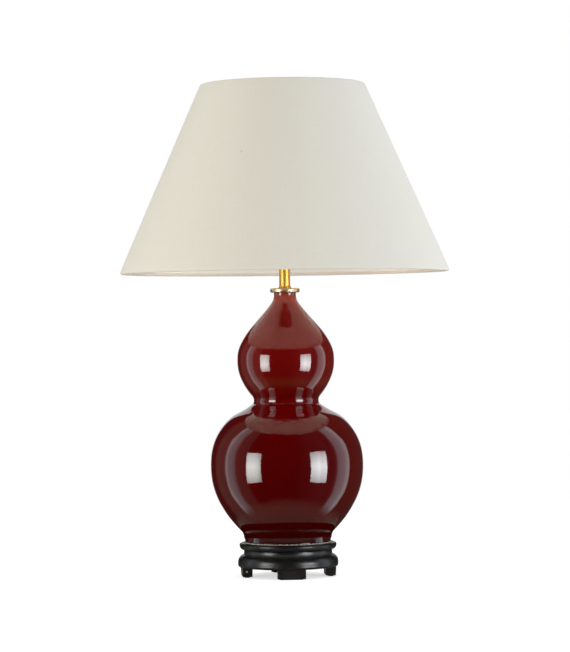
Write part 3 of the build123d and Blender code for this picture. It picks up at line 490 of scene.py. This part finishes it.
def tube_faces(rows, around):
    """The faces of an open tube, whose vertices are laid out ring by ring."""
    faces = []
    for i in range(rows - 1):
        ring, following = i * around, (i + 1) * around
        for j in range(around):
            k = (j + 1) % around
            faces.append((ring + j, ring + k, following + k, following + j))
    return faces


def sleeve_faces(rows, around):
    """The faces of a closed sleeve: an outer tube, an inner one after it, and both rims."""
    outer = tube_faces(rows, around)
    inner, top = rows * around, (rows - 1) * around
    faces = outer + [tuple(inner + corner for corner in reversed(face)) for face in outer]
    for j in range(around):
        k = (j + 1) % around
        faces.append((k, j, inner + j, inner + k))
        faces.append((top + j, top + k, inner + top + k, inner + top + j))
    return faces


# ---------------------------------------------------------------------------------------------
# The bulb's screw cap, with its rolled thread, in place of the smooth sleeve
# ---------------------------------------------------------------------------------------------
cap_low, cap_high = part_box("bulb_cap")
cap_radius, cap_wall = cap_high.x, 0.5 * mm
thread_pitch, thread_depth = 3.629 * mm, 0.75 * mm
# The thread fades in above the foot, which is nosed in a little, and out below the plain collar
thread_start, thread_end, thread_top = 1.6 * mm, 1.5 * mm, cap_high.z - 4.6 * mm
nose_depth, nose_height = 0.35 * mm, 1.0 * mm
cap_around, cap_rows = 120, 133

vertices = []
for i in range(cap_rows):
    height = cap_low.z + (cap_high.z - cap_low.z) * i / (cap_rows - 1)
    rise = height - cap_low.z
    fade = min(1.0, rise / thread_start, (thread_top - height) / thread_end)
    depth = thread_depth * max(0.0, fade)
    nose = nose_depth * (1.0 - min(1.0, rise / nose_height))
    for j in range(cap_around):
        angle = 2 * pi * j / cap_around
        wave = 0.5 - 0.5 * cos(2 * pi * (rise / thread_pitch - j / cap_around))
        radius = cap_radius - depth * wave - nose
        vertices.append((radius * cos(angle), radius * sin(angle), height))
shrink = 1.0 - cap_wall / cap_radius
vertices += [(x * shrink, y * shrink, height) for x, y, height in vertices]
faces = sleeve_faces(cap_rows, cap_around)
screw_cap = mesh_piece("bulb_screw_cap", vertices, faces, "cap_metal", "bulb")
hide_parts("bulb_cap")


# ---------------------------------------------------------------------------------------------
# The shade's cloth: one piece from the hem inside the bottom edge, round the wire, up the outer
# face and over the top wire to the hem there
# ---------------------------------------------------------------------------------------------
cloth_half = 0.4 * mm
# Depths go in from the shade's outer face, and reaches go up it from the middle of the wire
roll_middle, roll_depth = 2.2 * mm, 2.6 * mm
hem_depth, hem_reach, hem_end = 2.4 * mm, 11.0 * mm, 0.2 * mm
tuck_start, tuck_reach = 7.0 * mm, 4.2 * mm
lump_size = 0.06 * mm
# From the bottom wire up to the top one, and the point of the outer face abreast of the bottom one
wire_rise = 0.2571
slope_length = wire_rise / cos(shade_tilt)
wire_height = shade_foot + roll_depth + roll_depth * sin(shade_tilt)
wire_radius = shade_radius - shade_lean * (wire_height - shade_foot)


def rolled_hem(turns=14, bends=7, handle=1.1 * mm):
    """The cloth's middle line as (up the slope, under the face, share of the wire's roll), from the
    hem's free edge at the bottom to where it leaves the wire for the outer face."""
    line = [(reach, hem_depth, 0.0) for reach in (hem_reach, hem_reach - hem_end, tuck_start)]
    start = Vector((tuck_reach, hem_depth))
    leave = radians(60.0)
    end = Vector((roll_middle * sin(leave), roll_depth + roll_middle * cos(leave)))
    pull = Vector((cos(leave), -sin(leave)))
    controls = [start, start - Vector((handle, 0.0)), end + handle * pull, end]
    for i in range(bends):
        t = i / bends
        shares = [(1 - t) ** 3, 3 * t * (1 - t) ** 2, 3 * t * t * (1 - t), t**3]
        parts = (share * control for share, control in zip(shares, controls))
        line.append((*sum(parts, Vector((0.0, 0.0))), t))
    for i in range(turns + 1):
        angle = leave - (pi + leave) * i / turns
        line.append((roll_middle * sin(angle), roll_depth + roll_middle * cos(angle), 1.0))
    return line


def outward(line):
    """The direction out of the shade, as (up, under), at each point of the cloth's middle line."""
    last = len(line) - 1
    runs = [(line[max(0, i - 1)], line[min(last, i + 1)]) for i in range(last + 1)]
    steps = [(Vector(after[:2]) - Vector(before[:2])).normalized() for before, after in runs]
    return [(step.y, -step.x) for step in steps]


face_steps = 16
bottom_line = rolled_hem()
face_line = [(slope_length * i / face_steps, cloth_half, 0.0) for i in range(1, face_steps)]
top_line = [(slope_length - up, under, roll) for up, under, roll in reversed(bottom_line)]
cloth_line = bottom_line + face_line + top_line
cloth_out = outward(cloth_line)
cloth_around = 288

vertices = []
for side in (1.0, -1.0):
    for (up, under, roll), (out_up, out_under) in zip(cloth_line, cloth_out):
        for j in range(cloth_around):
            angle = 2 * pi * j / cloth_around
            half = cloth_half
            if side > 0:
                # Rolled by hand, so the outer side is never quite even round the wire
                lump = 2.0 + sin(23 * angle + 40 * up) + sin(61 * angle + 1.3)
                half -= roll * lump_size * lump
            s_up, s_under = up + side * half * out_up, under + side * half * out_under
            radius = wire_radius - (s_up * sin(shade_tilt) + s_under * cos(shade_tilt))
            height = wire_height + s_up * cos(shade_tilt) - s_under * sin(shade_tilt)
            vertices.append((radius * cos(angle), radius * sin(angle), height))
faces = sleeve_faces(len(cloth_line), cloth_around)
cloth = mesh_piece("shade_cloth", vertices, faces, "ivory_cloth", "shade")
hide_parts("shade_cover")


# ---------------------------------------------------------------------------------------------
# The lap seam of the shade's cloth, down the back
# ---------------------------------------------------------------------------------------------
seam_half, seam_lift, seam_margin, seam_rows = 4.5 * mm, 0.55 * mm, 2.0 * mm, 61
# Across the seam and out of it, as shares of its half width and its lift
profile = [(1.0, -0.3), (0.97, 0.55), (0.85, 1.0), (-0.85, 1.0), (-0.97, 0.55), (-1.0, -0.3)]
corners = len(profile)

vertices = []
for i in range(seam_rows):
    rise = (shade_height - 2 * seam_margin) * i / (seam_rows - 1)
    height = shade_foot + seam_margin + rise
    radius = shade_radius - shade_lean * (height - shade_foot)
    for across, lift in profile:
        angle, out = across * seam_half / radius, lift * seam_lift
        reach = radius + out * cos(shade_tilt)
        vertices.append((reach * sin(angle), reach * cos(angle), height + out * sin(shade_tilt)))
faces = tube_faces(seam_rows, corners)
faces.append(tuple(reversed(range(corners))))
faces.append(tuple(range((seam_rows - 1) * corners, seam_rows * corners)))
seam = mesh_piece("shade_seam", vertices, faces, "ivory_cloth", "shade", smooth=False)


# ---------------------------------------------------------------------------------------------
# Floor and cards
# ---------------------------------------------------------------------------------------------
stage_sides = 64


def stage_mesh(name, vertices, faces, material):
    thing = mesh_object(name, vertices, faces, material)
    return thing


def only_in_gloss(thing):
    thing.visible_camera = False
    thing.visible_diffuse = False
    thing.visible_shadow = False


def stage_ring(radius, height):
    turns = [2 * pi * k / stage_sides for k in range(stage_sides)]
    return [(radius * cos(turn), radius * sin(turn), height) for turn in turns]


def floor_material():
    """White paper, white to the camera under a soft shadow, and mirrored only near the lamp."""
    net = Material("floor")
    rays = net.add("LightPath").node.outputs
    tone = net.mix(rays["Is Glossy Ray"], (0.86, 0.86, 0.86), (0.50, 0.47, 0.40))
    paper = net.add("BsdfDiffuse", {"Color": tone})
    seen = net.math("MULTIPLY", rays["Is Camera Ray"], 0.62)
    glow = net.add("Emission", {"Color": (1.0, 1.0, 1.0), "Strength": seen})
    oval = net.stretch(net.place(), (1.25, 1.0, 1.0))
    far = net.add("VectorMath", {0: oval}, out="Value", operation="LENGTH")
    gone = net.math("MULTIPLY", net.ease(far, 0.15, 0.23), rays["Is Glossy Ray"])
    lit = net.add("AddShader", {0: paper, 1: glow})
    return net.show(net.add("MixShader", {0: gone, 1: lit, 2: net.add("BsdfTransparent")}))


floor_reach = 1.6
floor_face = tuple(range(stage_sides))
stage_mesh("floor", stage_ring(floor_reach, 0.0), [floor_face], floor_material())

# A black card round the stand, which only gloss shows: it keeps the floor out of the vase's foot
flag_inner, flag_outer, flag_height = 0.070, 0.084, 0.0495
flag = Material("flag")
black = flag.show(flag.add("Emission", {"Color": (0.0, 0.0, 0.0), "Strength": 0.0}))
card_rings = stage_ring(flag_inner, flag_height) + stage_ring(flag_outer, flag_height)
only_in_gloss(stage_mesh("flag", card_rings, tube_faces(2, stage_sides), black))


def upright_card(name, compass, rise, distance, colour, strength, across, up):
    """A glowing panel that only gloss shows, between two compass angles in degrees to the right of
    the camera's side and two heights, its brightness across and up it as runs of (place, share)."""
    net = Material(name)
    place = net.axes(net.add("TexCoord", out="Generated"))
    shares = [
        net.ramp(place[axis], [(stop, (share,) * 3) for stop, share in run])
        for axis, run in ((0, across), (2, up))
    ]
    level = net.math("MULTIPLY", net.math("MULTIPLY", *shares), strength)
    glow = net.show(net.add("Emission", {"Color": colour, "Strength": level}))
    left, right = [(distance * sin(radians(a)), -distance * cos(radians(a))) for a in compass]
    bottom, top = rise
    corners = [(*left, bottom), (*right, bottom), (*right, top), (*left, top)]
    only_in_gloss(stage_mesh(name, corners, [(0, 1, 2, 3)], glow))


even = [(0.0, 1.0), (1.0, 1.0)]
upright_card(
    "softbox_left", (-62.5, -38.5), (-0.36, 0.63), 1.54, (0.91, 1.0, 0.97), 16.0,
    [(0.0, 0.80), (0.2, 0.96), (0.5, 1.0), (0.75, 0.9), (1.0, 0.60)],
    [(0.0, 0.43), (0.42, 0.95), (0.5, 1.02), (0.58, 0.94), (1.0, 0.54)],
)
upright_card(
    "softbox_right", (35.0, 60.5), (-0.38, 0.65), 1.54, (0.92, 1.0, 1.02), 19.5,
    [(0.0, 0.74), (0.35, 0.94), (0.5, 1.04), (0.62, 0.87), (1.0, 0.90)],
    [(0.0, 0.42), (0.42, 0.92), (0.5, 1.0), (0.58, 0.93), (1.0, 0.38)],
)
upright_card("backdrop", (162.0, 198.0), (-0.4, 2.6), 2.4, (1.0, 1.0, 1.0), 1.0, even, even)

# ---------------------------------------------------------------------------------------------
# World
# ---------------------------------------------------------------------------------------------
world = bpy.data.worlds.new("studio")
world.use_nodes = True
scene.world = world
net = Net(world.node_tree)
rays = net.add("LightPath").node.outputs
white = net.add("Background", {"Color": (1.0, 1.0, 1.0), "Strength": 1.0})
ambient = net.add("Background", {"Color": (1.0, 0.995, 0.98), "Strength": 0.55})
# What gloss shows of the room, as (compass angle, red, green, blue): dark, with a tall white
# reflector at each side. The ramp holds no more than 1, so it gets shares of the brightest
room = [
    (-140, 0.02, 0.02, 0.02), (-134, 0.08, 0.10, 0.08), (-127, 0.15, 0.18, 0.16),
    (-112, 0.16, 0.19, 0.17), (-107.5, 0.30, 0.35, 0.35), (-105.5, 1.9, 2.1, 2.1),
    (-102, 1.6, 1.9, 1.9), (-99, 1.05, 1.30, 1.38), (-91, 0.90, 1.18, 1.28),
    (-86, 0.60, 0.76, 0.78), (-82.5, 0.20, 0.24, 0.20), (-64, 0.14, 0.18, 0.17),
    (-60, 0.02, 0.02, 0.02), (-30, 0.01, 0.01, 0.01), (14, 0.01, 0.01, 0.01),
    (30, 0.04, 0.05, 0.06), (60, 0.08, 0.10, 0.11), (74, 0.05, 0.07, 0.09),
    (80, 0.16, 0.20, 0.17), (83.5, 1.15, 1.25, 1.38), (90, 1.40, 1.50, 1.68),
    (97, 1.55, 1.62, 1.86), (101, 2.0, 2.2, 2.3), (107.5, 2.2, 2.5, 2.4),
    (109.5, 0.08, 0.09, 0.07), (135, 0.05, 0.06, 0.05), (180, 0.03, 0.03, 0.03),
]
brightest = 2.6
aim_x, aim_y, _ = net.axes(net.add("TexCoord", out="Generated"))
compass = net.math("ARCTAN2", aim_x, net.math("MULTIPLY", aim_y, -1.0))
stops = [
    ((angle + 180) / 360, tuple(level / brightest for level in levels)) for angle, *levels in room
]
reflected = net.ramp(net.spread(compass, -pi, pi), stops)
dark = net.add("Background", {"Color": reflected, "Strength": brightest})
air = net.add("MixShader", {0: rays["Is Glossy Ray"], 1: ambient, 2: dark})
seen = net.math("MAXIMUM", rays["Is Camera Ray"], rays["Is Transmission Ray"])
sky = net.add("MixShader", {0: seen, 1: air, 2: white})
output = next(node for node in world.node_tree.nodes if node.type == "OUTPUT_WORLD")
net.fill(output.inputs["Surface"], sky)


# ---------------------------------------------------------------------------------------------
# Lights
# ---------------------------------------------------------------------------------------------
def area_light(name, place, aim, size, power, colour):
    """A soft lamp that lights the object without showing in its gloss."""
    data = bpy.data.lights.new(name, "AREA")
    data.shape = "RECTANGLE"
    data.size, data.size_y = size
    data.energy = power
    data.color = colour
    lamp = bpy.data.objects.new(name, data)
    lamp.location = place
    lamp.rotation_euler = (Vector(aim) - Vector(place)).to_track_quat("-Z", "Y").to_euler()
    scene.collection.objects.link(lamp)
    lamp.visible_glossy = False
    lamp.visible_camera = False


middle, panel = (0.0, 0.0, 0.4), (0.9, 1.2)
area_light("key_left", (-1.45, -1.45, 0.75), middle, panel, 12.8, (1.0, 0.93, 0.75))
area_light("key_right", (2.05, -0.45, 0.65), middle, panel, 20.0, (0.91, 0.96, 1.04))
area_light("side_left", (-2.05, 0.1, 0.65), middle, panel, 4.2, (0.94, 0.97, 1.0))
# The white table's light, thrown back up into the shade
inside_top, opening = (0.0, 0.0, 0.7), (0.30, 0.30)
area_light("bounce_in_shade", (0.0, 0.0, 0.405), inside_top, opening, 0.34, (1.0, 0.94, 0.80))
